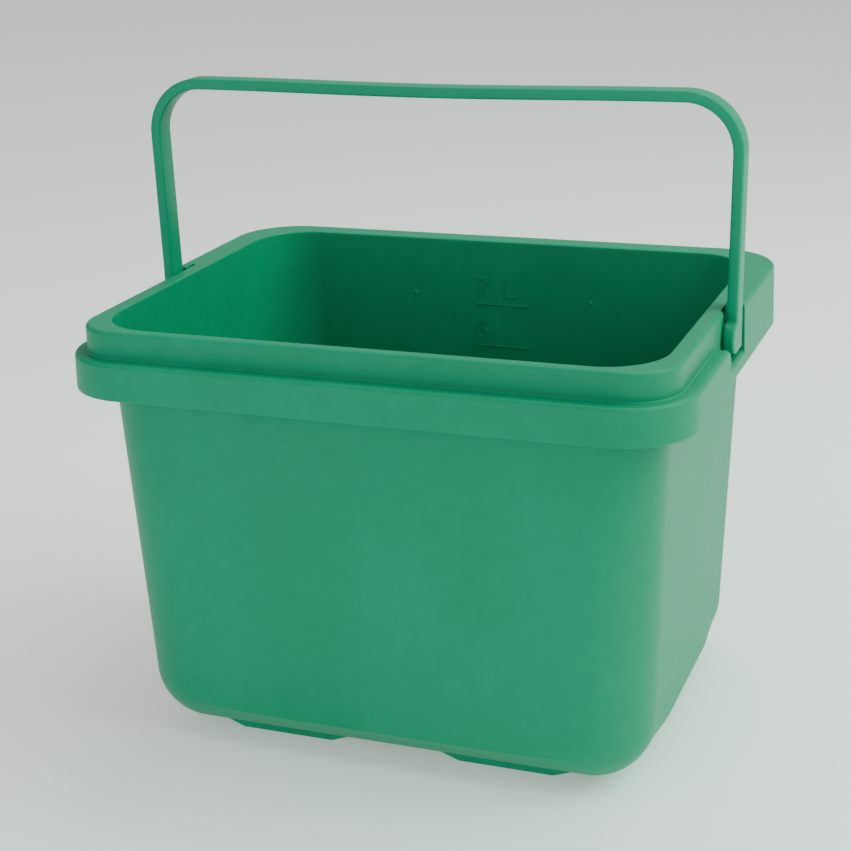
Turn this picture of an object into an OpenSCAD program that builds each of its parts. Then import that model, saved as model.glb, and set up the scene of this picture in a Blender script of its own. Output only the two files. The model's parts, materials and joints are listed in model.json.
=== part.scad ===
// Rectangular florist's bucket: one moulded tub with a stepped, hollow rim, and a
// moulded bail handle whose trunnion pins turn in blind bores in the rim.
// The origin is on the floor under the middle of the tub. -Y is the front, where the
// rim has its step, +Y is the back and +Z is up. All sizes are in millimetres.

/* [Tub] */
// Clear width of the mouth, side to side
mouth_w = 251; // [180:1:360]
// Clear depth of the mouth, front to back
mouth_d = 191; // [140:1:280]
// Corner radius of the mouth
mouth_r = 26; // [18:1:34]
// Height of the rim's top face above the floor
tub_h = 199; // [140:1:300]
// Outside width of the tub just above the round corners at its base
base_w = 240; // [170:0.5:258]
// Outside depth of the tub just above the round corners at its base
base_d = 185; // [158:0.5:198]
// Radius of the round corners at the base
base_r = 27.5; // [20:0.5:34]
// Height above the floor of the crease where the walls turn in towards the base
crease_z = 18.8; // [8:0.1:20]
// Thickness of the walls and of the base
wall = 2; // [1.6:0.1:3.2]

/* [Rim] */
// Width of the top face at the sides, from the mouth to the raised band's outer face
side_land = 8; // [7.4:0.1:12]
// Width of the top face along the front
front_land = 6.4; // [5.4:0.1:12]
// Corner radius of the raised band
band_r = 22; // [18:1:32]
// Width of the ledge at the sides, outside the raised band
side_ledge = 6; // [5.6:0.1:9]
// Width of the ledge along the front
front_ledge = 7.1; // [6.6:0.1:10]
// Drop from the top face to the ledge
step_h = 12.4; // [12:0.1:16]
// Height of the rim's skirt, from the top face down to its lower edge
skirt_h = 28.8; // [26:0.1:40]
// Spread of the skirt from the top face's level down to its lower edge
skirt_flare = 0.6; // [0:0.1:2.4]
// Corner radius of the skirt
skirt_r = 31; // [24:1:40]
// Thickness of the rim's shell
rim_wall = 2; // [1.6:0.1:3]
// Distance of the high rear rim's front ends behind the middle
panel_y = 10.5; // [10:0.1:20]

/* [Feet] */
// Height of the foot pads under the base
pad_h = 3; // [2:0.1:6]
// Length of a pad where it meets the floor
pad_l = 44.5; // [20:0.5:50]
// Depth of a pad from front to back
pad_d = 13; // [8:0.5:20]
// Distance of a pad's middle from the tub's middle, sideways
pad_x = 53.5; // [45:0.5:60]
// Distance of a pad's outer face from the tub's middle, front to back
pad_y = 73; // [55:0.5:76]
// Run of a pad's sloping ends
pad_slope = 8; // [3:0.5:8]

/* [Handle] */
// Thickness of the bail's flat bar
bar_t = 5; // [3.5:0.1:5.2]
// Depth of the bail's bar, front to back
bar_d = 11.2; // [8:0.1:11.4]
// Outside radius of the bail's two corners
bail_r = 26; // [16:1:40]
// Clearance between the folded bail's cross bar and the front of the raised band
nest_gap = 1.6; // [0.6:0.1:2.4]
// Clearance between the folded bail and the ledge under it
ledge_gap = 0.4; // [0.3:0.1:0.8]
// Outward lean of each leg above the rim, in degrees
leg_splay = 0.9; // [0:0.1:1.5]
// Dip of the cross bar at its middle
bar_sag = 1.1; // [0:0.1:2]
// Radius of the round foot at the end of each leg
foot_r = 7.3; // [6.6:0.1:7.6]

/* [Pivot] */
// Distance of the pivot axis in front of the tub's middle
pivot_y = 3.2; // [2.4:0.1:3.6]
// Distance of the pivot axis below the rim's top face
pivot_drop = 11.9; // [11:0.1:12.3]
// Radius of the trunnion pins
pin_r = 3; // [2:0.1:4]
// Radial clearance of a trunnion pin in its bore
pin_gap = 0.05; // [0.02:0.01:0.1]
// Length of a trunnion pin beyond its collar
pin_l = 3.6; // [2.6:0.1:3.8]
// Radius of the collar between a foot and its pin
collar_r = 5.8; // [4.8:0.1:6]
// Depth of the recess in the raised band that takes the collar
recess_t = 1.7; // [1.4:0.1:1.9]
// Clearance between the bail and the faces that it moves past
slip = 0.7; // [0.4:0.1:0.9]
// Clearance round the collar and beyond the end of the pin
collar_gap = 0.4; // [0.3:0.1:0.6]
// Space in front of the foot in the notch that the bail folds through
notch_front = 8.3; // [6:0.1:12]
// Space under the foot in the notch
notch_under = 2.3; // [1.4:0.1:3]
// Reach of the recess in front of the bail's leg
slot_front = 1.4; // [0.8:0.1:2.4]
// Reach of the recess behind the bail's leg
slot_back = 8.2; // [4:0.1:10]
// Rounding of the ledge's ends beside the notch
nose_r = 3; // [1:0.1:4]

/* [Graduations] */
// Highest litre mark inside the back wall; a mark that would lie above the rim is left out
top_litre = 7; // [3:1:12]
// Length of a litre mark
mark_l = 29.5; // [15:0.5:60]
// Height of a litre mark
mark_h = 0.6; // [0.5:0.1:2]
// Height that a litre mark stands out of the wall
mark_t = 0.5; // [0.3:0.1:1]

/* [Hidden] */
// Facets of a circle in a true cylinder, and in the shapes that make a hull
round_fn = 72;
hull_fn = 32;
// Overlap of forms that are joined, and overshoot of forms that cut
lap = 1;
// Thickness left of a form that only guides a hull
sliver = 0.01;
// Half sizes of the rim's outlines, from the mouth outwards
mouth_x = mouth_w / 2;
mouth_y = mouth_d / 2;
band_x = mouth_x + side_land;
band_y = mouth_y + front_land;
rim_x = band_x + side_ledge;
rim_y = band_y + front_ledge;
// Pivot axis and the heights that follow from it
axis_y = -pivot_y;
axis_z = tub_h - pivot_drop;
ledge_z = tub_h - step_h;
skirt_z = tub_h - skirt_h;
// The front faces of the bail's legs come down onto the ledge when the bail folds
leg_front = axis_y + ledge_gap - (step_h - pivot_drop);
leg_back = leg_front + bar_d;
leg_in = band_x + slip;
leg_out = leg_in + bar_t;
// Length of the legs: the folded cross bar clears the front of the raised band
bar_low = band_y + nest_gap - pivot_y;
bar_top = bar_low + bar_t;
// A leg is upright to above the rim, then leans out straight to its corner
upright_h = 3;
lean_z = tub_h + upright_h;
corner_z = axis_z + bar_top - bail_r;
corner_x = leg_out + (corner_z - lean_z) * tan(leg_splay) - bail_r;
arc_step = 3;
sag_steps = 12;
// A foot's flat heel, behind its round toe, lies a little lower than the toe
heel_drop = 0.2;
heel_h = foot_r + heel_drop;
foot_sweep = panel_y - axis_y - slip;
// Notch for the foot, and the recess for the collar
notch_y0 = axis_y - foot_r - notch_front;
notch_z = axis_z - heel_h - notch_under;
recess_x = band_x - recess_t;
recess_r = collar_r + collar_gap;
recess_y0 = leg_front - slot_front;
recess_y1 = leg_back + slot_back;
collar_x = recess_x + collar_gap;
bore_r = pin_r + pin_gap;
bore_x = collar_x - pin_l - collar_gap;
// Taper of the inner walls, per millimetre of height above the base's round corners
base_z = pad_h + base_r;
taper_x = (mouth_x - (base_w / 2 - wall)) / (tub_h - base_z);
taper_y = (mouth_y - (base_d / 2 - wall)) / (tub_h - base_z);
floor_z = pad_h + wall;
// Middles of the base's round corners
corner_mid_x = base_w / 2 - base_r;
corner_mid_y = base_d / 2 - base_r;
// Angle between the walls and the slope below the crease, which touches the base's round edge
crease_drop = base_z - crease_z;
crease_turn = atan2(crease_drop, base_r) + acos(base_r / norm([base_r, crease_drop]));
// The crease rises this much for each millimetre that the surface is moved inwards
crease_rise = tan(crease_turn / 2);
// Height up to which a pad is drawn; the tub's inside is cut out of it
pad_top = pad_h + wall * 1.25;
// Spread of the skirt per millimetre down from the top face
flare = skirt_flare / skirt_h;
mm3_per_litre = 1e6;
level_step = 0.5;

// Half sizes of the inside at height z
function in_x(z) = mouth_x - taper_x * (tub_h - max(z, base_z));
function in_y(z) = mouth_y - taper_y * (tub_h - max(z, base_z));
// Radius of the inside's round corners at height z, below the top of the base's rounding
function round_in(z) = sqrt(max(0, pow(base_r - wall, 2) - pow(base_z - z, 2)));
// Reach of the inside beyond the corners' middles at height z: down the wall to the crease,
// then along the slope to the round edge
function reach_in(z) =
    let (inner_z = crease_z + wall * crease_rise, taper = (taper_x + taper_y) / 2)
    max(round_in(z), base_r - wall - taper * (base_z - max(z, inner_z))
                     - max(0, inner_z - z) * tan(crease_turn));
// Area of one corner whose round part has radius r and whose straight sides reach to h
function corner_area(r, h) =
    let (t = max(r, h * sqrt(0.5)))
    t * sqrt(max(0, h * h - t * t)) + t * t * (PI / 4 - acos(min(1, t / h)) * PI / 180);
// Area of the inside at height z
function in_area(z) =
    z >= base_z ? 4 * in_x(z) * in_y(z) - (4 - PI) * mouth_r * mouth_r
    : let (h = reach_in(z))
        4 * (corner_mid_x * corner_mid_y + (corner_mid_x + corner_mid_y) * h
             + corner_area(round_in(z), h));
// Height of the surface when the tub holds the given volume, summed in thin slices
function fill_height(volume, z = floor_z) =
    let (area = in_area(z + level_step / 2))
    volume < area * level_step || z >= tub_h ? z + volume / area
    : fill_height(volume - area * level_step, z + level_step);

// Box from one corner to the other
module block(low, high) {
    translate(low) cube(high - low);
}

// Cylinder along X that starts at the given x on the pivot axis
module on_axis(x, r, h) {
    translate([x, axis_y, axis_z]) rotate([0, 90, 0]) cylinder(r = r, h = h, $fn = round_fn);
}

// Cross-section of a slab, with half size x at the top and x + spread at the bottom
module slab_profile(x, spread, h) {
    polygon([[-x - spread, 0], [x + spread, 0], [x, h], [-x, h]]);
}

// Slab with round vertical corners from z0 up to z1. Its half sizes at the top are x and
// y, and it spreads evenly on its way down.
module slab(x, y, r, z0, z1, spread = 0) {
    h = z1 - z0;
    translate([0, 0, z0]) {
        translate([0, y - r, 0]) rotate([90, 0, 0])
            linear_extrude(height = 2 * (y - r)) slab_profile(x, spread, h);
        translate([-(x - r), 0, 0]) rotate([90, 0, 90])
            linear_extrude(height = 2 * (x - r)) slab_profile(y, spread, h);
        for (sx = [-1, 1], sy = [-1, 1])
            translate([sx * (x - r), sy * (y - r), 0])
                cylinder(r1 = r + spread, r2 = r, h = h, $fn = round_fn);
    }
}

// Crease round the foot of the walls, between the corners, moved inwards by inset
module crease(inset) {
    z = crease_z + inset * crease_rise;
    x = base_w / 2 - inset - taper_x * (base_z - z);
    y = base_d / 2 - inset - taper_y * (base_z - z);
    block([-x, -corner_mid_y, z], [x, corner_mid_y, z + sliver]);
    block([-corner_mid_x, -y, z], [corner_mid_x, y, z + sliver]);
}

// Tapered tub with a rounded base, its surface moved inwards by inset and its top raised
module tub_form(inset, raise) {
    hull() {
        crease(inset);
        for (sx = [-1, 1], sy = [-1, 1]) {
            translate([sx * corner_mid_x, sy * corner_mid_y, base_z])
                sphere(r = base_r - inset, $fn = hull_fn);
            translate([sx * (mouth_x - mouth_r), sy * (mouth_y - mouth_r), tub_h - sliver])
                cylinder(r = mouth_r + wall - inset, h = raise + sliver, $fn = hull_fn * 2);
        }
    }
}

// Outer form of the rim: raised band, high rear part, ledge and skirt, made smaller by
// inset. The form's foot goes down to z0.
module rim_form(inset, z0) {
    slab(band_x - inset, band_y - inset, band_r - inset, ledge_z - inset - lap, tub_h - inset);
    difference() {
        slab(rim_x - inset, rim_y - inset, skirt_r - inset, z0, tub_h - inset,
             flare * (tub_h - inset - z0));
        block([-rim_x - lap, -rim_y - lap, ledge_z - inset],
              [rim_x + lap, panel_y + inset, tub_h]);
    }
}

// Solid stock round one pivot, between the tub's wall and the skirt
module pivot_stock() {
    low = notch_z - rim_wall;
    front = notch_y0 - rim_wall;
    top = tub_h - rim_wall / 2;
    block([mouth_x, front, low], [rim_x - rim_wall + sliver, panel_y + rim_wall, ledge_z - rim_wall / 2]);
    block([mouth_x, front, low], [band_x - rim_wall / 2, recess_y1 + rim_wall, top]);
    block([band_x - rim_wall, panel_y + rim_wall, low], [band_x + rim_wall, recess_y1 + rim_wall, top]);
}

// What is left of the ledge's square end beside a notch once its edge is rounded
module nose() {
    length = rim_x + 2 * lap - band_x;
    difference() {
        block([band_x, notch_y0 - nose_r, ledge_z - nose_r],
              [band_x + length, notch_y0 + lap, ledge_z + lap]);
        translate([band_x - lap, notch_y0 - nose_r, ledge_z - nose_r])
            rotate([0, 90, 0]) cylinder(r = nose_r, h = length + 2 * lap, $fn = round_fn);
    }
}

// Notch beside one leg: the foot turns in it and the leg folds forward out of it
module notch() {
    block([band_x, notch_y0, notch_z], [rim_x + 2 * lap, panel_y, tub_h + lap]);
    nose();
}

// Recess in the raised band for the collar, open at the top, and the pin's blind bore
module recess_and_bore() {
    on_axis(recess_x, recess_r, band_x + slip - recess_x);
    block([recess_x, recess_y0, axis_z], [band_x + slip / 2, recess_y1, tub_h + lap]);
    on_axis(bore_x, bore_r, band_x - bore_x);
}

// One foot pad under the base, with sloping ends
module pad() {
    run = pad_slope * pad_top / pad_h;
    translate([0, pad_d, 0]) rotate([90, 0, 0]) linear_extrude(height = pad_d)
        polygon([[-pad_l / 2, 0], [pad_l / 2, 0],
                 [pad_l / 2 + run, pad_top], [-pad_l / 2 - run, pad_top]]);
}

// Litre marks on the inside of the back wall
module litre_marks() {
    for (n = [1 : top_litre]) {
        z = fill_height(n * mm3_per_litre);
        if (z < tub_h)
            block([-mark_l / 2, in_y(z) - mark_t, z - mark_h], [mark_l / 2, in_y(z) + wall / 2, z]);
    }
}

module bucket() {
    color([0.13, 0.56, 0.42]) {
        difference() {
            union() {
                difference() {
                    rim_form(0, skirt_z);
                    rim_form(rim_wall, skirt_z - lap);
                }
                tub_form(0, 0);
                for (side = [0, 1])
                    mirror([side, 0, 0]) pivot_stock();
                for (sx = [-1, 1], back = [0, 1])
                    mirror([0, back, 0]) translate([sx * pad_x, -pad_y, 0]) pad();
            }
            tub_form(wall, lap);
            for (side = [0, 1])
                mirror([side, 0, 0]) {
                    notch();
                    recess_and_bore();
                }
        }
        litre_marks();
    }
}

// Right half of the bail's outline, moved inwards by inset: up the leg, round the corner
// and along the sagging cross bar to its middle
function bail_half(inset) = concat(
    [[leg_out - inset, axis_z], [leg_out - inset, lean_z]],
    [for (a = [0 : arc_step : 90])
        [corner_x + (bail_r - inset) * cos(a), corner_z + (bail_r - inset) * sin(a)]],
    [for (i = [1 : sag_steps])
        let (t = i / sag_steps)
        [corner_x * (1 - t), corner_z + bail_r - inset - bar_sag * (1 - cos(180 * t)) / 2]]
);
function mirrored(points) = [for (p = reversed(points)) [-p[0], p[1]]];
function reversed(points) = [for (i = [len(points) - 1 : -1 : 0]) points[i]];
function all_but_last(points) = [for (i = [0 : len(points) - 2]) points[i]];

// Foot, collar and pin at the end of one leg, round the pivot axis
module foot() {
    on_axis(leg_in, foot_r, bar_t);
    intersection() {
        block([leg_in, leg_front, axis_z - heel_h], [leg_out, leg_back, axis_z + heel_h]);
        on_axis(leg_in - lap, foot_sweep, bar_t + 2 * lap);
    }
    on_axis(collar_x, collar_r, leg_in - collar_x + lap);
    on_axis(collar_x - pin_l, pin_r, pin_l + lap);
}

// Flat bar of the bail, from one foot over to the other
module bail() {
    outer = bail_half(0);
    inner = bail_half(bar_t);
    translate([0, leg_back, 0]) rotate([90, 0, 0]) linear_extrude(height = bar_d)
        polygon(concat(outer, mirrored(all_but_last(outer)),
                       reversed(mirrored(inner)), reversed(all_but_last(inner))));
}

module handle() {
    color([0.16, 0.6, 0.46]) {
        bail();
        for (side = [0, 1])
            mirror([side, 0, 0]) foot();
    }
}

bucket();
handle();
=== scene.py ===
"""Looks of the florist's bucket: a satin green polypropylene tub and its bail handle.

Everything is in metres in the part's own frame: the floor is z = 0, -Y is the front and
+X is to the right. Sizes are written in millimetres times MM.
"""

import json
import math

import bmesh
import bpy
from mathutils import Matrix, Vector


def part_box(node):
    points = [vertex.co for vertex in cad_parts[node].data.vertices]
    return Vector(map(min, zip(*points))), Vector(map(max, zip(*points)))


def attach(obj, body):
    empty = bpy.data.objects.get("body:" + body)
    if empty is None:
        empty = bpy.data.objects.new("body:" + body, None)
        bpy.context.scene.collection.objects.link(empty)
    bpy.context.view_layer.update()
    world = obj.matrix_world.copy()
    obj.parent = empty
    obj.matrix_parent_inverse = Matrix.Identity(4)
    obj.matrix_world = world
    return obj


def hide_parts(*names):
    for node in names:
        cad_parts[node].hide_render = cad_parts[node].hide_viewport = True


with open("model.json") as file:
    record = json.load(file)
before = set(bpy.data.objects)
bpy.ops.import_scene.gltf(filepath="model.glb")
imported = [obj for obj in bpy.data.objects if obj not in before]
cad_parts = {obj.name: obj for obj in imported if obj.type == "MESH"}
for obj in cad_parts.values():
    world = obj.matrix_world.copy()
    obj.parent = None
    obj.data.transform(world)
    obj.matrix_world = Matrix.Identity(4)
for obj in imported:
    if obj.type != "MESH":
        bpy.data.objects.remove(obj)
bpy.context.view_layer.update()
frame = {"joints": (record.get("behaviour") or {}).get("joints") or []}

MM = 0.001

# ------------------------------------------------------------------ sizes
tub_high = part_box("bucket")[1]
hinge = frame["joints"][0]["pos_m"]

# Tub and rim. An outline is half width, half depth and corner radius.
RIM_TOP = tub_high.z
FLARE = 0.6 * MM
SKIRT = (tub_high.x - FLARE, tub_high.y - FLARE, 31 * MM)
BAND = (SKIRT[0] - 6 * MM, SKIRT[1] - 7.1 * MM, 22 * MM)
MOUTH = (BAND[0] - 8 * MM, BAND[1] - 6.4 * MM, 26 * MM)
BASE = (120 * MM, 92.5 * MM, 27.5 * MM)
WALL = 2 * MM
PAD_H = 3 * MM
PAD_SIZE = (44.5 * MM, 13 * MM)
PAD_SLOPE = 8 * MM
PAD_SPACING = (107 * MM, 133 * MM)
EQUATOR = PAD_H + BASE[2]
CREASE = 18.8 * MM
TAPER = tuple((MOUTH[k] + WALL - BASE[k]) / (RIM_TOP - EQUATOR) for k in (0, 1))
DROP = EQUATOR - CREASE
TURN = math.atan2(DROP, BASE[2]) + math.acos(BASE[2] / math.hypot(BASE[2], DROP))
CREASE_R = 1.2 * MM
CREASE_FADE = 30 * MM
LEDGE = RIM_TOP - 12.4 * MM
SKIRT_LOW = RIM_TOP - 28.8 * MM

# Pivot, its notch in the ledge and the recess beside the leg
AXIS_Y = hinge[1]
AXIS_Z = hinge[2]
NOTCH_FRONT = AXIS_Y - 15.6 * MM
NOTCH_LOW = AXIS_Z - 9.8 * MM
PANEL_FRONT = 10.5 * MM
SLIP = 0.7 * MM
RECESS_DEPTH = 1.7 * MM
COLLAR_GAP = 0.4 * MM
SLOT_FRONT = 1.4 * MM
SLOT_BACK = 8.2 * MM
COLLAR_R = 5.8 * MM
PIN_R = 3 * MM
PIN_GAP = 0.05 * MM
PIN_L = 3.6 * MM

# Bail
BAR = 5 * MM
LEG_DEPTH = 11.2 * MM
LEG_FRONT = AXIS_Y - 0.1 * MM
LEG_BACK = LEG_FRONT + LEG_DEPTH
LEG_IN = BAND[0] + SLIP
LEG_OUT = LEG_IN + BAR
LEAN_START = RIM_TOP + 3 * MM
SPLAY = math.tan(math.radians(0.9))
BAIL_R = 26 * MM
BAIL_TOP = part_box("handle")[1].z
SAG = 1.1 * MM
FOOT_R = 7.3 * MM
HEEL_SWEEP = PANEL_FRONT - AXIS_Y - SLIP

# Roundings of the moulded edges
LIP_R = 0.9 * MM
EDGE_R = 2 * MM
HOLLOW_R = 0.8 * MM
NOSE_R = 3 * MM
PANEL_R = 1 * MM
LOW_R = 0.7 * MM
BAR_R = 1.1 * MM

# Steps along a rounding, round a corner, down a wall and along a straight side
ARC_STEPS = 5
CORNER_STEPS = 18
WALL_STEPS = 10
SIDE_STEPS = 16

# Litre marks
LITRES = 7
MARK_L = 29.5 * MM
MARK_H = 0.6 * MM
MARK_T = 0.5 * MM
DIGIT_H = 10.8 * MM
DIGIT_RISE = 3.2 * MM
DIGIT_X = -14.4 * MM
LETTER_X = 0.5 * MM
DIGIT_T = 0.28 * MM


# ------------------------------------------------------------------ meshes
def arc(steps=ARC_STEPS):
    """Angles from 0 to a quarter turn."""
    return [math.pi / 2 * i / steps for i in range(steps + 1)]


def finished(name, verts, faces, body, material, replaced=None, sharp=30):
    """A piece from closed mesh data: merged, facing outwards, smooth, riding on its body."""
    mesh = bpy.data.meshes.new(name)
    mesh.from_pydata(verts, [], faces)
    tidy(mesh)
    return placed(name, mesh, body, material, replaced, sharp)


def tidy(mesh, merge=0.5e-6):
    """Merges doubles, drops empty faces and turns every face outwards."""
    work = bmesh.new()
    work.from_mesh(mesh)
    bmesh.ops.remove_doubles(work, verts=work.verts, dist=merge)
    bmesh.ops.dissolve_degenerate(work, edges=work.edges, dist=merge)
    bmesh.ops.recalc_face_normals(work, faces=work.faces)
    work.to_mesh(mesh)
    work.free()
    mesh.update()


def placed(name, mesh, body, material, replaced=None, sharp=30):
    """Puts a finished mesh in the scene as one piece."""
    mesh.polygons.foreach_set("use_smooth", [True] * len(mesh.polygons))
    mesh.set_sharp_from_angle(angle=math.radians(sharp))
    mesh.materials.clear()
    mesh.materials.append(material)
    piece = bpy.data.objects.new(name, mesh)
    bpy.context.scene.collection.objects.link(piece)
    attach(piece, body)
    if replaced:
        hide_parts(replaced)
    return piece


def applied(piece_object):
    """The object's mesh with its modifiers applied, as a plain mesh. The object goes away."""
    graph = bpy.context.evaluated_depsgraph_get()
    mesh = bpy.data.meshes.new_from_object(piece_object.evaluated_get(graph))
    bpy.data.objects.remove(piece_object)
    return mesh


def loose(name, mesh):
    """A temporary object that holds a mesh."""
    holder = bpy.data.objects.new(name, mesh)
    bpy.context.scene.collection.objects.link(holder)
    return holder


def tube_faces(rings, size, closed=True):
    """Quads between successive rings of equal size."""
    faces = []
    for k in range(rings if closed else rings - 1):
        a = k * size
        b = (k + 1) % rings * size
        faces += [(a + i, a + (i + 1) % size, b + (i + 1) % size, b + i) for i in range(size)]
    return faces


# ------------------------------------------------------------------ tub
class Station:
    """One place on the way round the tub, with the rim's heights there.

    outer is the height of the rim's outer platform: ledge, notch or high rear rim.
    hollow_out and hollow_in are the ceilings of the rim's hollow, under the platform and
    behind the raised band.
    """

    def __init__(self, at, outer, hollow_out, hollow_in):
        self.at = at
        self.outer = outer
        self.hollow_out = hollow_out
        self.hollow_in = hollow_in

    def point(self, outline, inset):
        """Place on an outline moved inwards by inset."""
        half_x, half_y, radius = outline
        reach_x = half_x - radius
        reach_y = half_y - radius
        radius = max(0.0, radius - inset)
        kind, side, value = self.at
        if kind == "corner":
            sx, sy = side
            return (
                sx * (reach_x + radius * math.cos(value)),
                sy * (reach_y + radius * math.sin(value)),
            )
        if kind == "along x":
            return (value * reach_x, side * (reach_y + radius))
        return (side * (reach_x + radius), value)


def side_heights():
    """Depth and heights of the stations along one side, from front to back."""
    front = (LEDGE - WALL, RIM_TOP - WALL)
    stock = (NOTCH_LOW - WALL, NOTCH_LOW - WALL)
    rear = (RIM_TOP - WALL, RIM_TOP - WALL)
    rows = []
    reach = BASE[1] - BASE[2] - 6 * MM
    first = -reach
    stock_front = NOTCH_FRONT - NOSE_R - WALL
    stock_back = LEG_BACK + SLOT_BACK + WALL
    for i in range(SIDE_STEPS):
        rows.append((first + (stock_front - first) * i / SIDE_STEPS, LEDGE, *front))
    rows.append((stock_front, LEDGE, *front))
    rows.append((stock_front, LEDGE, *stock))
    for a in arc(6):
        y = NOTCH_FRONT - NOSE_R * (1 - math.sin(a))
        rows.append((y, LEDGE - NOSE_R * (1 - math.cos(a)), *stock))
    for a in arc():
        y = NOTCH_FRONT + HOLLOW_R * (1 - math.cos(a))
        rows.append((y, NOTCH_LOW + HOLLOW_R * (1 - math.sin(a)), *stock))
    for i in range(1, 6):
        y = NOTCH_FRONT + HOLLOW_R + (PANEL_FRONT - NOTCH_FRONT - 2 * HOLLOW_R) * i / 6
        rows.append((y, NOTCH_LOW, *stock))
    for a in arc():
        y = PANEL_FRONT - HOLLOW_R * (1 - math.sin(a))
        rows.append((y, NOTCH_LOW + HOLLOW_R * (1 - math.cos(a)), *stock))
    for a in arc():
        y = PANEL_FRONT + PANEL_R * (1 - math.cos(a))
        rows.append((y, RIM_TOP - PANEL_R * (1 - math.sin(a)), *stock))
    rows.append((stock_back, RIM_TOP, *stock))
    rows.append((stock_back, RIM_TOP, *rear))
    last = reach
    for i in range(1, SIDE_STEPS + 1):
        rows.append((stock_back + (last - stock_back) * i / SIDE_STEPS, RIM_TOP, *rear))
    return rows


def stations():
    """Every station, anticlockwise from above, starting at the left end of the front."""
    front = (LEDGE, LEDGE - WALL, RIM_TOP - WALL)
    rear = (RIM_TOP, RIM_TOP - WALL, RIM_TOP - WALL)
    quarter = arc(CORNER_STEPS)
    share = [2 * i / SIDE_STEPS - 1 for i in range(1, SIDE_STEPS)]
    sides = side_heights()
    found = [Station(("along x", -1, t), *front) for t in share]
    found += [Station(("corner", (1, -1), a), *front) for a in reversed(quarter)]
    found += [Station(("along y", 1, y), *heights) for y, *heights in sides]
    found += [Station(("corner", (1, 1), a), *rear) for a in quarter]
    found += [Station(("along x", 1, -t), *rear) for t in share]
    found += [Station(("corner", (-1, 1), a), *rear) for a in reversed(quarter)]
    found += [Station(("along y", -1, y), *heights) for y, *heights in reversed(sides)]
    found += [Station(("corner", (-1, -1), a), *front) for a in quarter]
    return found


def blended(low, high, share):
    """Outline between two outlines."""
    return tuple(a + (b - a) * share for a, b in zip(low, high))


def base_line(radius, inset):
    """Reach beyond the corners' middles and height along the foot of a straight wall, from
    the equator down: wall, rounded crease, slope and round edge."""
    slope = sum(TAPER) / 2
    bend = CREASE + inset * math.tan(TURN / 2)
    reach = radius - slope * (EQUATOR - bend)
    cut_back = CREASE_R * math.tan(TURN / 2)
    line = []
    for i in range(5):
        share = i / 5
        line.append((radius + (reach - radius) * share, EQUATOR + (bend + cut_back - EQUATOR) * share))
    for i in range(7):
        a = TURN * i / 6
        line.append((
            reach - CREASE_R * (1 - math.cos(a)),
            bend + cut_back - CREASE_R * math.sin(a),
        ))
    start = line[-1]
    end = (radius * math.cos(TURN), EQUATOR - radius * math.sin(TURN))
    for i in range(1, 6):
        line.append(tuple(a + (b - a) * i / 6 for a, b in zip(start, end)))
    for i in range(13):
        a = TURN + (math.pi / 2 - TURN) * i / 12
        line.append((radius * math.cos(a), EQUATOR - radius * math.sin(a)))
    return line


def base_reach(s, radius, reach, height):
    """Reach from the corner's middle at station s. The crease fades out before the corners,
    which are plain round."""
    kind, _, value = s.at
    ball = math.sqrt(max(0.0, radius**2 - (EQUATOR - height) ** 2))
    if kind == "corner":
        return ball
    half = BASE[0] - BASE[2] if kind == "along x" else BASE[1] - BASE[2]
    along = abs(value) * half if kind == "along x" else abs(value)
    share = min(1.0, max(0.0, (half - along) / CREASE_FADE))
    return ball + (reach - ball) * share * share * (3 - 2 * share)


def tub_section(s):
    """Outline, inset and height of each point of the tub's section at station s, from the
    floor inside, over the rim and back to the underside of the base."""
    top = s.outer
    points = []
    inner_base = (BASE[0] - WALL, BASE[1] - WALL, BASE[2] - WALL)
    for reach, height in reversed(base_line(inner_base[2], WALL)):
        out = base_reach(s, inner_base[2], reach, height)
        points.append((inner_base, inner_base[2] - out, height))
    for i in range(1, WALL_STEPS):
        share = i / WALL_STEPS
        height = EQUATOR + (RIM_TOP - LIP_R - EQUATOR) * share
        points.append((blended(inner_base, MOUTH, share), 0, height))
    for a in arc():
        points.append((MOUTH, -LIP_R * (1 - math.cos(a)), RIM_TOP - LIP_R * (1 - math.sin(a))))
    edge = min(EDGE_R, (RIM_TOP - top) * 0.5)
    for a in arc():
        points.append((BAND, edge * (1 - math.sin(a)), RIM_TOP - edge * (1 - math.cos(a))))
    foot = min(HOLLOW_R, (RIM_TOP - top) * 0.5)
    for a in arc():
        points.append((BAND, -foot * (1 - math.cos(a)), top + foot * (1 - math.sin(a))))
    for a in arc():
        height = top - EDGE_R * (1 - math.cos(a))
        points.append((SKIRT, EDGE_R * (1 - math.sin(a)) - spread(height), height))
    for a in arc(3):
        height = SKIRT_LOW + LOW_R * (1 - math.sin(a))
        points.append((SKIRT, LOW_R * (1 - math.cos(a)) - spread(height), height))
    for a in reversed(arc(3)):
        height = SKIRT_LOW + LOW_R * (1 - math.sin(a))
        points.append((SKIRT, WALL - LOW_R * (1 - math.cos(a)) - spread(height), height))
    points.append((SKIRT, WALL - spread(s.hollow_out), s.hollow_out))
    points.append((BAND, WALL, s.hollow_out))
    points.append((BAND, WALL, s.hollow_in))
    points.append((MOUTH, -WALL, s.hollow_in))
    outer_mouth = (MOUTH[0] + WALL, MOUTH[1] + WALL, MOUTH[2] + WALL)
    ceiling = min(s.hollow_in, SKIRT_LOW)
    for i in range(WALL_STEPS):
        height = ceiling + (EQUATOR - ceiling) * i / WALL_STEPS
        share = (height - EQUATOR) / (RIM_TOP - EQUATOR)
        points.append((blended(BASE, outer_mouth, share), 0, height))
    for reach, height in base_line(BASE[2], 0.0):
        points.append((BASE, BASE[2] - base_reach(s, BASE[2], reach, height), height))
    return points


def spread(height):
    """How far the skirt has spread at that height."""
    return FLARE * (RIM_TOP - height) / (RIM_TOP - SKIRT_LOW)


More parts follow.
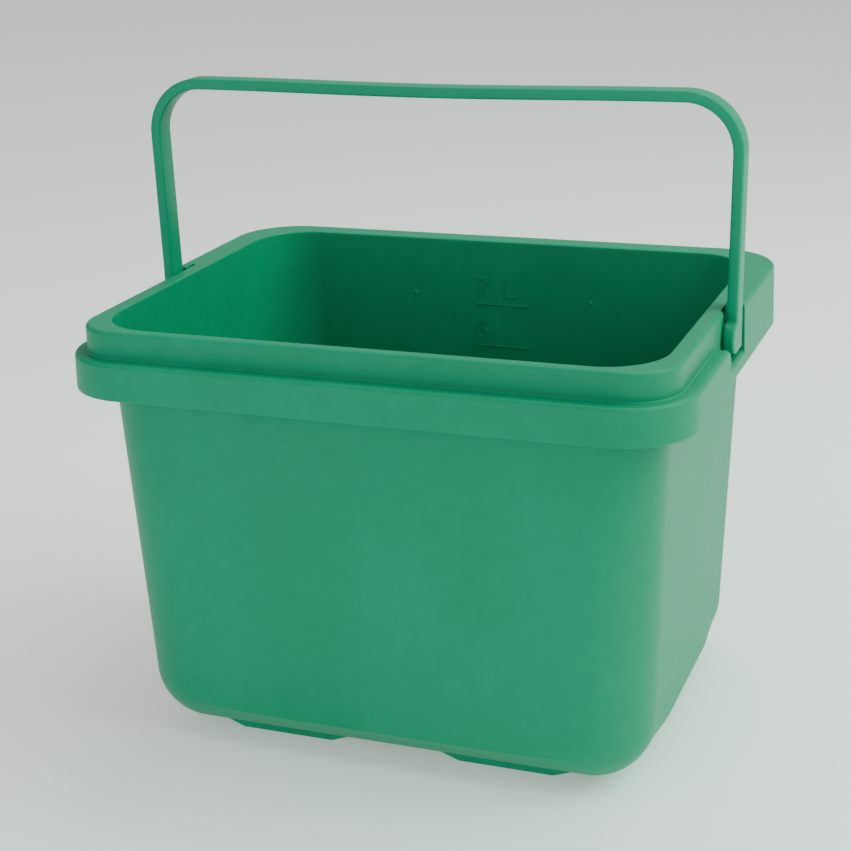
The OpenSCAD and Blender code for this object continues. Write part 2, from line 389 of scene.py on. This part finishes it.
def tub_mesh():
    """The tub's closed skin, station by station, with a flat floor and underside."""
    verts = []
    found = stations()
    for s in found:
        for outline, inset, height in tub_section(s):
            verts.append((*s.point(outline, inset), height))
    size = len(verts) // len(found)
    faces = []
    for k in range(len(found)):
        a = k * size
        b = (k + 1) % len(found) * size
        faces += [(a + i, b + i, b + i + 1, a + i + 1) for i in range(size - 1)]
    faces.append([k * size for k in range(len(found))])
    faces.append([k * size + size - 1 for k in reversed(range(len(found)))])
    mesh = bpy.data.meshes.new("tub")
    mesh.from_pydata(verts, [], faces)
    tidy(mesh)
    return mesh


def rod(name, start, radius, length, sides=64):
    """Closed cylinder along X, for cutting."""
    ring = []
    for k in (0, 1):
        for i in range(sides):
            a = 2 * math.pi * i / sides
            y = start[1] + radius * math.cos(a)
            z = start[2] + radius * math.sin(a)
            ring.append((start[0] + k * length, y, z))
    faces = tube_faces(2, sides, closed=False)
    faces += [list(reversed(range(sides))), list(range(sides, 2 * sides))]
    mesh = bpy.data.meshes.new(name)
    mesh.from_pydata(ring, [], faces)
    tidy(mesh)
    return mesh


def brick(name, low, high):
    """Closed box from corner to corner, for cutting."""
    spans = list(zip(low, high))
    verts = [(x, y, z) for x in spans[0] for y in spans[1] for z in spans[2]]
    faces = [(0, 1, 3, 2), (4, 6, 7, 5), (0, 4, 5, 1), (2, 3, 7, 6), (0, 2, 6, 4), (1, 5, 7, 3)]
    mesh = bpy.data.meshes.new(name)
    mesh.from_pydata(verts, [], faces)
    tidy(mesh)
    return mesh


def cut(target, tool):
    """Takes the tool's volume out of the target object."""
    holder = loose("cutter", tool)
    step = target.modifiers.new("cut", "BOOLEAN")
    step.operation = "DIFFERENCE"
    step.solver = "EXACT"
    step.object = holder
    graph = bpy.context.evaluated_depsgraph_get()
    mesh = bpy.data.meshes.new_from_object(target.evaluated_get(graph))
    target.modifiers.clear()
    target.data = mesh
    bpy.data.objects.remove(holder)


def make_tub(material):
    tub = loose("tub_stock", tub_mesh())
    deep = BAND[0] - RECESS_DEPTH
    collar_x = deep + COLLAR_GAP
    bore_end = collar_x - PIN_L - COLLAR_GAP
    reach = BAND[0] + SLIP - deep
    length = deep + MM - bore_end
    slot_y = (LEG_FRONT - SLOT_FRONT, LEG_BACK + SLOT_BACK)
    for side in (1, -1):
        start = min(side * deep, side * (deep + reach))
        cut(tub, rod("collar room", (start, AXIS_Y, AXIS_Z), COLLAR_R + COLLAR_GAP, reach))
        x0, x1 = sorted((side * deep, side * (BAND[0] + SLIP / 2)))
        cut(tub, brick("slot", (x0, slot_y[0], AXIS_Z), (x1, slot_y[1], RIM_TOP + MM)))
        start = min(side * bore_end, side * (bore_end + length))
        cut(tub, rod("bore", (start, AXIS_Y, AXIS_Z), PIN_R + PIN_GAP, length))
    weigh = tub.modifiers.new("weigh normals", "WEIGHTED_NORMAL")
    weigh.keep_sharp = True
    tub.data.polygons.foreach_set("use_smooth", [True] * len(tub.data.polygons))
    tub.data.set_sharp_from_angle(angle=math.radians(32))
    return placed("bucket_shell", applied(tub), "bucket", material, "bucket", 32)


# ------------------------------------------------------------------ bail
def bail_path():
    """Middle of the bar from the left foot over to the right one, as x, z and the share of
    the turn from upright (0) to level (1) at each point."""
    radius = BAIL_R - BAR / 2
    corner_z = BAIL_TOP - BAIL_R
    corner_x = LEG_OUT + (corner_z - LEAN_START) * SPLAY - BAIL_R
    half = [(LEG_OUT - BAR / 2, LEAN_START, 0.0)]
    for i in range(1, 12):
        z = LEAN_START + (corner_z - LEAN_START) * i / 12
        half.append((LEG_OUT - BAR / 2 + (z - LEAN_START) * SPLAY, z, 0.0))
    for a in arc(24):
        half.append((corner_x + radius * math.cos(a), corner_z + radius * math.sin(a), a / (math.pi / 2)))
    for i in range(1, 21):
        t = i / 20
        sag = SAG * (1 - math.cos(math.pi * t)) / 2
        half.append((corner_x * (1 - t), corner_z + radius - sag, 1.0))
    return half


def foot_front(z):
    """Front of the foot and of the leg above it: a round toe that runs up into the leg."""
    rise = z - AXIS_Z
    toe = AXIS_Y - math.sqrt(max(0.0, FOOT_R**2 - rise**2))
    low = FOOT_R * 0.74
    high = FOOT_R * 1.02
    share = min(1.0, max(0.0, (rise - low) / (high - low)))
    share = share * share * (3 - 2 * share)
    return toe * (1 - share) + LEG_FRONT * share if rise > 0 else toe


def foot_back(z):
    """Back of the leg, cut round at the heel so that it clears the panel behind it."""
    rise = z - AXIS_Z
    return min(LEG_BACK, AXIS_Y + math.sqrt(HEEL_SWEEP**2 - rise**2)) if rise < 0 else LEG_BACK


def bar_ring(low, high, radius, place):
    """Rounded rectangle in the section's own plane, put in place by a function."""
    ring = []
    for cx, cy, start in ((1, 0, -90), (1, 1, 0), (0, 1, 90), (0, 0, 180)):
        mid_x = high[0] - radius if cx else low[0] + radius
        mid_y = high[1] - radius if cy else low[1] + radius
        for a in arc(4):
            turn = a + math.radians(start)
            ring.append(place(mid_x + radius * math.cos(turn), mid_y + radius * math.sin(turn)))
    return ring


def half_bail():
    """Rings of the right half of the bail, from the bottom of the foot to the middle."""
    rings = []
    bottom = AXIS_Z - FOOT_R
    heights = []
    for a in arc(4):
        inset = BAR_R * (1 - math.sin(a))
        heights.append((bottom + BAR_R * (1 - math.cos(a)), inset))
    steps = 46
    start = bottom + BAR_R
    for i in range(1, steps):
        heights.append((start + (LEAN_START - start) * i / steps, 0.0))
    for z, inset in heights:
        low = (LEG_IN + inset, foot_front(z) + inset * 0.5)
        high = (LEG_OUT - inset, foot_back(z) - inset)
        radius = max(BAR_R - inset, 0.02 * MM)
        rings.append(bar_ring(low, high, radius, lambda x, y, z=z: (x, y, z)))
    path = bail_path()
    for k, (x, z, turn) in enumerate(path):
        before = path[max(k - 1, 0)]
        after = path[k + 1] if k + 1 < len(path) else (-path[k - 1][0], path[k - 1][1])
        along = Vector((after[0] - before[0], 0, after[1] - before[1]))
        along = Vector((0, 0, 1)) if k == 0 else along.normalized()
        out = Vector((along.z, 0, -along.x))
        rings.append(
            bar_ring(
                (-BAR / 2, LEG_FRONT),
                (BAR / 2, LEG_BACK),
                BAR_R,
                lambda u, y, x=x, z=z, out=out: (x + out.x * u, y, z + out.z * u),
            )
        )
    return rings


def turned_rod(start, profile, sides=48):
    """Closed turned piece along X: profile lists distance from start and radius."""
    verts = []
    for distance, radius in profile:
        for i in range(sides):
            a = 2 * math.pi * i / sides
            verts.append((start + distance, AXIS_Y + radius * math.cos(a), AXIS_Z + radius * math.sin(a)))
    faces = tube_faces(len(profile), sides, closed=False)
    faces += [list(reversed(range(sides))), list(range(len(verts) - sides, len(verts)))]
    return verts, faces


def make_bail(material):
    right = half_bail()
    size = len(right[0])
    left = [[(-x, y, z) for x, y, z in ring] for ring in reversed(right[:-1])]
    rings = right + left
    verts = [p for ring in rings for p in ring]
    faces = tube_faces(len(rings), size, closed=False)
    faces += [list(reversed(range(size))), list(range(len(verts) - size, len(verts)))]
    collar_start = BAND[0] - RECESS_DEPTH + COLLAR_GAP
    edge = 0.3 * MM
    profile = [
        (-PIN_L, PIN_R - edge),
        (-PIN_L + edge, PIN_R),
        (0, PIN_R),
        (0, COLLAR_R - edge),
        (edge, COLLAR_R),
        (LEG_IN - collar_start + BAR / 2, COLLAR_R),
    ]
    pin_verts, pin_faces = turned_rod(collar_start, profile)
    for mirror in (1, -1):
        start = len(verts)
        verts += [(mirror * x, y, z) for x, y, z in pin_verts]
        faces += [[start + i for i in f] for f in pin_faces]
    return finished("bail_handle", verts, faces, "handle", material, "handle", 40)


# ------------------------------------------------------------------ node trees
class Value:
    """Something that nodes work out. Python's operators on it add Math nodes."""

    def __init__(self, tree, socket):
        self.tree = tree
        self.socket = socket

    def math(self, operation, *others):
        sockets = dict(enumerate((self, *others)))
        return self.tree.add("ShaderNodeMath", {"operation": operation}, sockets)[0]

    def turned(self, operation, other):
        """The same with the other value first."""
        return self.tree.add("ShaderNodeMath", {"operation": operation}, {0: other, 1: self})[0]

    def __add__(self, other):
        return self.math("ADD", other)

    def __radd__(self, other):
        return self.math("ADD", other)

    def __sub__(self, other):
        return self.math("SUBTRACT", other)

    def __rsub__(self, other):
        return self.turned("SUBTRACT", other)

    def __mul__(self, other):
        return self.math("MULTIPLY", other)

    def __rmul__(self, other):
        return self.math("MULTIPLY", other)

    def __truediv__(self, other):
        return self.math("DIVIDE", other)

    def __rtruediv__(self, other):
        return self.turned("DIVIDE", other)

    def __gt__(self, other):
        return self.math("GREATER_THAN", other)

    def __lt__(self, other):
        return self.math("LESS_THAN", other)

    def __abs__(self):
        return self.math("ABSOLUTE")

    def fade(self, start, end):
        """0 at start and 1 at end, smooth between them."""
        settings = {"interpolation_type": "SMOOTHSTEP"}
        sockets = {"Value": self, "From Min": start, "From Max": end}
        return self.tree.add("ShaderNodeMapRange", settings, sockets)["Result"]


class Node:
    """A node whose outputs are read as values, by name or number."""

    def __init__(self, tree, node):
        self.tree = tree
        self.node = node

    def __getitem__(self, name):
        return Value(self.tree, self.node.outputs[name])


class Tree:
    """A node tree with one method that makes any node."""

    def __init__(self, tree):
        self.tree = tree
        self.tree.nodes.clear()

    def add(self, kind, settings=None, sockets=None):
        """A node of that kind: its settings, then each socket's value or link."""
        node = self.tree.nodes.new(kind)
        for name, value in (settings or {}).items():
            setattr(node, name, value)
        for name, value in (sockets or {}).items():
            if isinstance(value, Value):
                self.tree.links.new(value.socket, node.inputs[name])
            else:
                node.inputs[name].default_value = value
        return Node(self, node)


# ------------------------------------------------------------------ finishes
def mix(tree, share, first, second):
    """Colour between two colours."""
    settings = {"data_type": "RGBA", "clamp_factor": True}
    return tree.add("ShaderNodeMix", settings, {0: share, 6: first, 7: second})[2]


def noise(tree, place, scale, detail=2.0, rough=0.5):
    """Cloudy noise from 0 to 1, with that many lumps to a metre."""
    sockets = {"Vector": place, "Scale": scale, "Detail": detail, "Roughness": rough}
    return tree.add("ShaderNodeTexNoise", None, sockets)["Fac"]


def stretched(tree, place, turn, scale):
    """Coordinates turned and then stretched."""
    sockets = {"Vector": place, "Rotation": turn, "Scale": scale}
    return tree.add("ShaderNodeMapping", None, sockets)["Vector"]


def hairlines(tree, place, turn, spacing, width, where):
    """Fine scratches along one direction, kept only where the mask noise is high."""
    run = stretched(tree, place, turn, (1.0, 0.06, 1.0))
    line = abs(noise(tree, run, spacing, 1.0) - 0.5)
    patch = noise(tree, place, where, 1.0).fade(0.56, 0.68)
    return (1 - line.fade(width * 0.3, width)) * patch


def moulded_plastic(name, colour, pale, dark, gloss=0.38):
    """Satin polypropylene: cloudy pigment, spark-eroded grain, hairline scratches, a few
    dust specks and scuffs where the bucket stands and is stacked."""
    material = bpy.data.materials.new(name)
    material.use_nodes = True
    tree = Tree(material.node_tree)
    place = tree.add("ShaderNodeTexCoord")["Object"]
    parts = tree.add("ShaderNodeSeparateXYZ", None, {0: place})
    height = parts["Z"]

    cloud = noise(tree, place, 9.0, 3.0, 0.55)
    mottle = noise(tree, place, 140.0, 2.0, 0.6)
    flow = noise(tree, stretched(tree, place, (0.0, 0.0, 0.0), (1.0, 1.0, 0.25)), 34.0, 2.0)
    grain = noise(tree, place, 1500.0, 2.0, 0.7)
    fine = noise(tree, place, 4200.0, 1.0, 0.5)
    scratch = hairlines(tree, place, (0.3, 0.9, 0.2), 150.0, 0.006, 13.0)
    scratch = scratch + hairlines(tree, place, (1.2, 0.1, 1.1), 190.0, 0.005, 17.0)

    cells = tree.add("ShaderNodeTexVoronoi", {"feature": "F1"}, {"Vector": place, "Scale": 55.0})
    chosen = tree.add("ShaderNodeSeparateColor", None, {0: cells["Color"]})["Red"] > 0.97
    speck = (1 - cells["Distance"].fade(0.025, 0.05)) * chosen

    worn = (1 - height.fade(0.5 * MM, 7 * MM)) * noise(tree, place, 320.0, 4.0, 0.7).fade(0.42, 0.62)

    shade = (cloud - 0.5) * 0.5 + (mottle - 0.5) * 0.28 + (flow - 0.5) * 0.22 + (grain - 0.5) * 0.16
    base = mix(tree, (shade + 0.5).fade(0.2, 0.8), dark, colour)
    light = (scratch * 0.09 + speck * 0.35 + worn * 0.1 + (shade.fade(0.05, 0.4)) * 0.10)
    base = mix(tree, light, base, pale)

    rough = gloss + (cloud - 0.5) * 0.10 + (flow - 0.5) * 0.08 + (grain - 0.5) * 0.10
    rough = rough + scratch * 0.12 + worn * 0.25 + speck * 0.2
    relief = grain * 0.55 + fine * 0.25 + mottle * 0.6 - scratch * 0.5 + speck * 0.8 - worn * 0.8
    bump = tree.add("ShaderNodeBump", None, {"Strength": 0.32, "Distance": 0.00006, "Height": relief})
    waves = noise(tree, place, 26.0, 1.0)
    swell = {"Strength": 0.35, "Distance": 0.0009, "Height": waves, "Normal": bump["Normal"]}
    soft = tree.add("ShaderNodeBump", None, swell)
    shader = tree.add(
        "ShaderNodeBsdfPrincipled",
        None,
        {
            "Base Color": base,
            "Roughness": rough,
            "IOR": 1.49,
            "Normal": soft["Normal"],
            "Specular IOR Level": 0.18,
        },
    )
    tree.add("ShaderNodeOutputMaterial", None, {"Surface": shader["BSDF"]})
    return material


def pale_floor():
    material = bpy.data.materials.new("pale floor")
    material.use_nodes = True
    tree = Tree(material.node_tree)
    place = tree.add("ShaderNodeTexCoord")["Object"]
    base = mix(tree, noise(tree, place, 3.0), (0.95, 0.95, 0.945, 1), (0.97, 0.97, 0.97, 1))
    sockets = {"Base Color": base, "Roughness": 0.75, "Emission Color": base, "Emission Strength": 0.3}
    shader = tree.add("ShaderNodeBsdfPrincipled", None, sockets)
    tree.add("ShaderNodeOutputMaterial", None, {"Surface": shader["BSDF"]})
    return material


# ------------------------------------------------------------------ repeated features
def new_geometry_tree(name, sizes):
    """Geometry node tree with a Geometry input, the named sizes and a Material."""
    group = bpy.data.node_groups.new(name, "GeometryNodeTree")
    face = group.interface
    face.new_socket("Geometry", in_out="INPUT", socket_type="NodeSocketGeometry")
    for size in sizes:
        face.new_socket(size, in_out="INPUT", socket_type="NodeSocketFloat")
    face.new_socket("Material", in_out="INPUT", socket_type="NodeSocketMaterial")
    face.new_socket("Geometry", in_out="OUTPUT", socket_type="NodeSocketGeometry")
    tree = Tree(group)
    return tree, tree.add("NodeGroupInput")


def end_tree(tree, given, instances):
    """Realize Instances, Set Material and the output."""
    real = tree.add("GeometryNodeRealizeInstances", None, {0: instances})["Geometry"]
    painted = tree.add("GeometryNodeSetMaterial", None, {"Geometry": real, "Material": given["Material"]})
    tree.add("NodeGroupOutput", None, {0: painted["Geometry"]})
    return tree.tree


def mark_tree():
    """A bar at each point: one litre mark."""
    tree, given = new_geometry_tree("litre marks", ["Length", "Depth", "Height"])
    sides = {0: given["Length"], 1: given["Depth"], 2: given["Height"]}
    size = tree.add("ShaderNodeCombineXYZ", None, sides)
    bar = tree.add("GeometryNodeMeshCube", None, {"Size": size["Vector"]})["Mesh"]
    rows = tree.add("GeometryNodeInstanceOnPoints", None, {"Points": given["Geometry"], "Instance": bar})
    return end_tree(tree, given, rows["Instances"])


def pad_tree():
    """A block with sloping ends at each corner of a rectangle: the foot pads."""
    names = ["Length", "Depth", "Height", "Slope", "Across", "Front to back"]
    tree, given = new_geometry_tree("foot pads", names)
    sides = {0: given["Length"], 1: given["Depth"], 2: given["Height"]}
    size = tree.add("ShaderNodeCombineXYZ", None, sides)
    block = tree.add("GeometryNodeMeshCube", None, {"Size": size["Vector"]})["Mesh"]
    parts = tree.add("ShaderNodeSeparateXYZ", None, {0: tree.add("GeometryNodeInputPosition")["Position"]})
    rise = parts["Z"] / given["Height"] + 0.5
    shift = parts["X"] / (given["Length"] * 0.5) * given["Slope"] * rise
    offset = tree.add("ShaderNodeCombineXYZ", None, {0: shift})["Vector"]
    pad = tree.add("GeometryNodeSetPosition", None, {"Geometry": block, "Offset": offset})["Geometry"]
    corners = tree.add(
        "GeometryNodeMeshGrid",
        None,
        {"Size X": given["Across"], "Size Y": given["Front to back"], "Vertices X": 2, "Vertices Y": 2},
    )["Mesh"]
    rows = tree.add("GeometryNodeInstanceOnPoints", None, {"Points": corners, "Instance": pad})
    return end_tree(tree, given, rows["Instances"])


def pip_tree():
    """A low dome at each point: the small pips beside the marks."""
    tree, given = new_geometry_tree("pips", ["Radius", "Height"])
    round_form = {"Segments": 24, "Rings": 12, "Radius": given["Radius"]}
    ball = tree.add("GeometryNodeMeshUVSphere", None, round_form)
    flat = tree.add("ShaderNodeCombineXYZ", None, {0: 1.0, 1: given["Height"] / given["Radius"], 2: 1.0})
    dome = tree.add("GeometryNodeTransform", None, {"Geometry": ball["Mesh"], "Scale": flat["Vector"]})
    sockets = {"Points": given["Geometry"], "Instance": dome["Geometry"]}
    rows = tree.add("GeometryNodeInstanceOnPoints", None, sockets)
    return end_tree(tree, given, rows["Instances"])


def grown(name, group, points, sizes, material, bevel=None):
    """The mesh that a geometry tree makes from points and sizes, with its edges rounded when a bevel width
    is given.
    """
    mesh = bpy.data.meshes.new(name)
    mesh.from_pydata(points, [], [])
    holder = loose(name + "_points", mesh)
    step = holder.modifiers.new(name, "NODES")
    step.node_group = group
    for item in group.interface.items_tree:
        if item.item_type == "SOCKET" and item.in_out == "INPUT" and item.name in sizes:
            step[item.identifier] = sizes[item.name]
        if item.item_type == "SOCKET" and item.in_out == "INPUT" and item.name == "Material":
            step[item.identifier] = material
    if bevel:
        edge = holder.modifiers.new("round", "BEVEL")
        edge.width = bevel
        edge.segments = 3
        edge.limit_method = "ANGLE"
    return applied(holder)


def inside_half(height):
    """Half width and half depth of the inside at that height."""
    share = (max(height, EQUATOR) - EQUATOR) / (RIM_TOP - EQUATOR)
    low = (BASE[0] - WALL, BASE[1] - WALL)
    return tuple(a + (b - a) * share for a, b in zip(low, MOUTH))


def inside_area(z):
    """Area of the inside at that height."""
    if z >= EQUATOR:
        x, y = inside_half(z)
        return 4 * x * y - (4 - math.pi) * MOUTH[2] ** 2
    curve = BASE[2] - WALL
    ball = math.sqrt(max(0.0, curve**2 - (EQUATOR - z) ** 2))
    bend = CREASE + WALL * math.tan(TURN / 2)
    reach = curve - sum(TAPER) / 2 * (EQUATOR - max(z, bend)) - max(0.0, bend - z) * math.tan(TURN)
    reach = max(ball, reach)
    flat = max(ball, reach * math.sqrt(0.5))
    corner = flat * math.sqrt(max(0.0, reach**2 - flat**2))
    corner += flat**2 * (math.pi / 4 - math.acos(min(1.0, flat / reach)))
    x, y = BASE[0] - BASE[2], BASE[1] - BASE[2]
    return 4 * (x * y + (x + y) * reach + corner)


def level(litres):
    """Height of the surface when the tub holds that many litres."""
    wanted = litres * 0.001
    held = 0.0
    z = PAD_H + WALL
    step = 0.5 * MM
    while z < RIM_TOP:
        area = inside_area(z + step / 2)
        if held + area * step > wanted:
            return z + (wanted - held) / area
        held += area * step
        z += step
    return z


def lettering(text, size, place, depth):
    """Flat numerals with a small thickness, standing on the back wall."""
    curve = bpy.data.curves.new("numeral", "FONT")
    curve.body = text
    curve.size = size
    curve.extrude = depth
    curve.bevel_depth = 0.08 * MM
    curve.bevel_resolution = 1
    curve.resolution_u = 6
    holder = bpy.data.objects.new("numeral", curve)
    bpy.context.scene.collection.objects.link(holder)
    mesh = applied(holder)
    mesh.transform(Matrix.Translation(place) @ Matrix.Rotation(math.pi / 2, 4, "X"))
    return mesh


def joined(name, meshes):
    """One mesh from several."""
    work = bmesh.new()
    for mesh in meshes:
        work.from_mesh(mesh)
    made = bpy.data.meshes.new(name)
    work.to_mesh(made)
    work.free()
    return made


def make_graduations(material):
    """Raised litre marks and their numerals inside the back wall."""
    levels = [level(n) for n in range(1, LITRES + 1)]
    sink = 0.4 * MM
    depth = MARK_T + sink
    points = [(0, inside_half(z)[1] - MARK_T + depth / 2, z - MARK_H / 2) for z in levels]
    sizes = {"Length": MARK_L, "Depth": depth, "Height": MARK_H}
    meshes = [grown("litre_marks", mark_tree(), points, sizes, material, 0.2 * MM)]
    for n, z in enumerate(levels, 1):
        foot = z + DIGIT_RISE
        back = inside_half(foot)[1] + 0.1 * MM
        meshes.append(lettering(str(n), DIGIT_H * 1.42, (DIGIT_X, back, foot), DIGIT_T))
    foot = levels[-1] + DIGIT_RISE
    back = inside_half(foot)[1] + 0.1 * MM
    meshes.append(lettering("L", DIGIT_H * 1.38, (LETTER_X, back, foot), DIGIT_T))
    placed("graduations", joined("graduations", meshes), "bucket", material)

    z = RIM_TOP - 29 * MM
    y = inside_half(z)[1]
    spots = [(-47 * MM, y, z), (46 * MM, y, z)]
    pips = grown("pips", pip_tree(), spots, {"Radius": 1.5 * MM, "Height": 0.5 * MM}, material)
    placed("wall_pips", pips, "bucket", material)


def make_pads(material):
    rise = PAD_H + WALL - 0.05 * MM
    sizes = {
        "Length": PAD_SIZE[0],
        "Depth": PAD_SIZE[1],
        "Height": rise,
        "Slope": PAD_SLOPE * rise / PAD_H,
        "Across": PAD_SPACING[0],
        "Front to back": PAD_SPACING[1],
    }
    mesh = grown("foot_pads", pad_tree(), [(0, 0, 0)], sizes, material, 0.3 * MM)
    mesh.transform(Matrix.Translation((0, 0, rise / 2)))
    placed("foot_pads", mesh, "bucket", material)


# ------------------------------------------------------------------ stage, light, camera
def look(target, azimuth, elevation, distance, roll=0.0):
    """Place and rotation of something that looks at target from that direction."""
    a = math.radians(azimuth)
    e = math.radians(elevation)
    back = Vector((math.sin(a) * math.cos(e), -math.cos(a) * math.cos(e), math.sin(e)))
    turn = back.to_track_quat("Z", "Y").to_matrix().to_4x4()
    turn = turn @ Matrix.Rotation(math.radians(roll), 4, "Z")
    return Matrix.Translation(Vector(target) + back * distance) @ turn


def make_camera():
    data = bpy.data.cameras.new("camera")
    data.sensor_width = 36
    data.lens = 76.45
    data.clip_start = 0.05
    data.clip_end = 30
    camera = bpy.data.objects.new("camera", data)
    bpy.context.scene.collection.objects.link(camera)
    camera.matrix_world = look((-0.00766, 0, 0.13229), 21.218, 19.062, 0.8508, -1.885)
    bpy.context.scene.camera = camera


def soft_light(name, azimuth, elevation, distance, width, height, power, colour=(1, 1, 1)):
    data = bpy.data.lights.new(name, "AREA")
    data.shape = "RECTANGLE"
    data.size = width
    data.size_y = height
    data.energy = power
    data.color = colour
    light = bpy.data.objects.new(name, data)
    bpy.context.scene.collection.objects.link(light)
    light.matrix_world = look((0, 0, 0.13), azimuth, elevation, distance)


def make_stage():
    side = 12.0
    mesh = bpy.data.meshes.new("floor")
    corners = [(-side, -side, 0), (side, -side, 0), (side, side, 0), (-side, side, 0)]
    mesh.from_pydata(corners, [], [(0, 1, 2, 3)])
    mesh.materials.append(pale_floor())
    loose("floor", mesh)
    world = bpy.data.worlds.new("room")
    bpy.context.scene.world = world
    world.use_nodes = True
    tree = Tree(world.node_tree)
    glow = tree.add("ShaderNodeBackground", None, {"Color": (1, 1, 1, 1), "Strength": 0.52})
    tree.add("ShaderNodeOutputWorld", None, {"Surface": glow["Background"]})
    soft_light("window", 96, 40, 1.5, 1.2, 1.0, 21, (0.5, 1.0, 0.8))
    soft_light("sky", 150, 68, 1.6, 1.4, 1.0, 14)
    soft_light("front", -12, 12, 1.8, 1.6, 0.9, 8)


# ------------------------------------------------------------------ the object
make_camera()
make_stage()

tub_green = moulded_plastic(
    "green moulding", (0.0, 0.27, 0.135, 1), (0.10, 0.5, 0.34, 1), (0.0, 0.22, 0.105, 1), 0.46
)
bail_green = moulded_plastic(
    "green handle moulding", (0.0, 0.28, 0.145, 1), (0.10, 0.5, 0.34, 1), (0.0, 0.23, 0.115, 1), 0.42
)
make_tub(tub_green)
make_bail(bail_green)
make_graduations(tub_green)
make_pads(tub_green)
